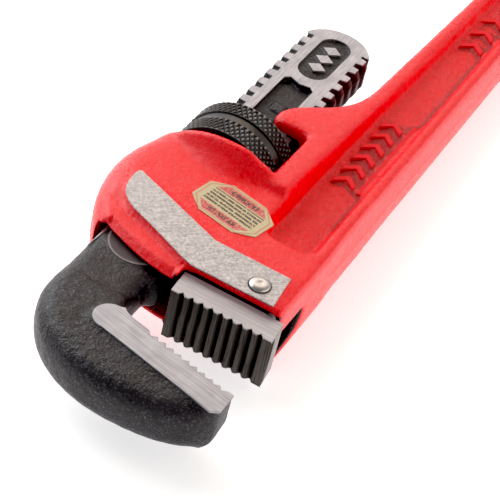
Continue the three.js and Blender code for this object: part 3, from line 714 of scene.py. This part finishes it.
def knurl_height(angle, x):
    """Depth below the crown of two crossed families of V grooves."""
    around = angle / (2 * math.pi) * KNURL_COUNT
    along = x / KNURL_LENGTH
    first = 1 - abs(2 * ((around + along) % 1) - 1)
    second = 1 - abs(2 * ((around - along) % 1) - 1)
    return KNURL_DEPTH * (1 - min(1, 1.15 * min(first, second)))


def nut():
    middle = NUT_MIDDLE
    foot, band = GROOVE_HALF + 0.3, GROOVE_HALF + 0.5
    bands = [(NUT_LEFT + 0.4, middle - band), (middle + band, NUT_RIGHT - 1.3)]
    profile = [(NUT_BORE, NUT_LEFT), (NUT_RADIUS - 0.6, NUT_LEFT), (NUT_RADIUS - 0.15, NUT_LEFT + 0.3)]
    stations = 30
    for index, (start, end) in enumerate(bands):
        profile += [(NUT_RADIUS, start + (end - start) * i / stations) for i in range(stations + 1)]
        if index == 0:
            profile += [(NUT_GROOVE + 0.3, middle - foot), (NUT_GROOVE, middle - GROOVE_HALF),
                        (NUT_GROOVE, middle), (NUT_GROOVE, middle + GROOVE_HALF),
                        (NUT_GROOVE + 0.3, middle + foot)]
    profile += [(NUT_RADIUS - 0.35, NUT_RIGHT - 1.0), (NUT_RADIUS - 1.6, NUT_RIGHT), (NUT_BORE, NUT_RIGHT)]

    def place(radius, angle, x):
        if radius == NUT_RADIUS:
            edge = min(min(abs(x - start), abs(x - end)) for start, end in bands)
            radius -= knurl_height(angle, x) * min(1, 0.4 + edge)
        return at(x, NUT_AXIS_Y + radius * math.cos(angle), radius * math.sin(angle))

    bm = lathe(profile, KNURL_COUNT * 8, place)
    ends = [edge for edge in bm.edges if edge.is_boundary]
    bmesh.ops.bridge_loops(bm, edges=ends)
    bmesh.ops.recalc_face_normals(bm, faces=bm.faces)
    mesh = as_mesh(bm, "knurled_nut", 28)
    return piece("knurled_nut", mesh, "nut", "black_nut", nut_black(), replaces=["adjusting_nut"])


# ---- Springs keep their CAD meshes ---------------------------------------------------
def springs():
    steel = plain_metal("spring_steel", (0.28, 0.29, 0.31), 0.3)
    for name in ("coil_spring", "flat_spring", "spring_rivet"):
        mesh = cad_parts[name].data
        mesh.materials.clear()
        mesh.materials.append(steel)


# ---- Studio -------------------------------------------------------------------------
FLOOR_GLOW = 0.55        # light of its own that keeps the floor pale


def floor():
    """A plain floor through the three points that the wrench rests on."""
    nut_foot = at(NUT_MIDDLE, NUT_AXIS_Y, -NUT_RADIUS)
    handle_foot = at(250, 0, -9.3)
    head_foot = at(-5, -10, -PAD_HEIGHT)
    normal = (handle_foot - head_foot).cross(nut_foot - head_foot).normalized()
    bm = bmesh.new()
    bmesh.ops.create_grid(bm, x_segments=2, y_segments=2, size=3.0)
    turn = Vector((0, 0, 1)).rotation_difference(normal).to_matrix().to_4x4()
    bm.transform(Matrix.Translation(head_foot) @ turn)
    mesh = as_mesh(bm, "studio_floor")
    glow = {"Emission_Color": (1, 1, 1), "Emission_Strength": FLOOR_GLOW}
    paper = Finish("studio_paper", (0.9, 0.9, 0.9), Roughness=0.9, **glow)
    mesh.materials.append(paper.material)
    obj = bpy.data.objects.new("studio_floor", mesh)
    bpy.context.scene.collection.objects.link(obj)


def light(name, place, aim, size, watts, color):
    lamp = bpy.data.lights.new(name, "AREA")
    lamp.shape = "RECTANGLE"
    lamp.size = lamp.size_y = size
    lamp.energy = watts
    lamp.color = color
    obj = bpy.data.objects.new(name, lamp)
    obj.location = place
    obj.rotation_euler = (place - aim).to_track_quat("Z", "Y").to_euler()
    bpy.context.scene.collection.objects.link(obj)


TENT_SIDES = 0.72        # brightness of the light tent at eye level
TENT_TOP = 0.12          # and overhead
LEFT_FLAG = 0.3          # share of it left where a grey flag hangs, beyond the hook jaw
LAMPS = (                # name, direction, distance and side in metres, watts, colour
    ("back", (0.3, 0.8, 0.5), 1.2, 1.0, 12.5, (1, 1, 1)),
    ("panel", (0.715, 0.244, 0.655), 1.5, 0.95, 5.9, (1, 0.84, 0.68)),
    ("front", (0.1, -0.85, 0.5), 1.3, 1.7, 11, (1, 0.88, 0.8)),
    ("left", (-0.85, 0.25, 0.42), 1.2, 0.7, 1.2, (0.85, 0.9, 1)),
)


def studio():
    world = bpy.data.worlds.new("studio_world")
    bpy.context.scene.world = world
    world.use_nodes = True
    nodes, links = world.node_tree.nodes, world.node_tree.links
    backdrop = nodes["Background"]
    place = nodes.new("ShaderNodeTexCoord")
    direction = nodes.new("ShaderNodeSeparateXYZ")
    links.new(place.outputs["Generated"], direction.inputs[0])
    product = nodes.new("ShaderNodeMath")
    product.operation = "MULTIPLY"
    ranges = (("Z", 0.35, 0.75, TENT_SIDES, TENT_TOP), ("X", -0.95, -0.1, LEFT_FLAG, 1))
    for index, (axis, *ends) in enumerate(ranges):
        fade = nodes.new("ShaderNodeMapRange")
        fade.interpolation_type = "SMOOTHSTEP"
        set_range(fade, *ends)
        links.new(direction.outputs[axis], fade.inputs["Value"])
        links.new(fade.outputs["Result"], product.inputs[index])
    links.new(product.outputs[0], backdrop.inputs["Strength"])
    backdrop.inputs["Color"].default_value = (1, 1, 1, 1)
    centre = at(20, 20, 0)
    for name, towards, distance, size, watts, color in LAMPS:
        light(name, centre + Vector(towards) * distance, centre, size, watts, color)


AIM = (10.4, 9.2, 13.5)
DISTANCE = 560.0         # from the aim to the camera, mm
SENSOR, LENS = 36, 136.8
BLACK_LEVEL = 0.016
AZIMUTH, ELEVATION, ROLL = math.radians(198.87), math.radians(40.92), math.radians(14.70)


def camera():
    flat = math.cos(ELEVATION)
    back = Vector((flat * math.cos(AZIMUTH), flat * math.sin(AZIMUTH), math.sin(ELEVATION)))
    level = Vector((-math.sin(AZIMUTH), math.cos(AZIMUTH), 0))
    rise = back.cross(level)
    right = level * math.cos(ROLL) + rise * math.sin(ROLL)
    up = rise * math.cos(ROLL) - level * math.sin(ROLL)
    lens = bpy.data.cameras.new("camera")
    lens.sensor_width = SENSOR
    lens.lens = LENS
    lens.clip_start = 0.01
    obj = bpy.data.objects.new("camera", lens)
    turn = Matrix((right, up, back)).transposed().to_4x4()
    obj.matrix_world = Matrix.Translation(at(*AIM) + back * DISTANCE * MM) @ turn
    bpy.context.scene.collection.objects.link(obj)
    bpy.context.scene.camera = obj


housing()
web_marks()
head_strips()
heel_jaw()
heel_pin()
side_label()
hook()
hook_plates()
nut()
springs()
floor()
studio()
camera()
view = bpy.context.scene.view_settings
view.view_transform = "Standard"
view.use_curve_mapping = True
view.curve_mapping.black_level = (BLACK_LEVEL,) * 3
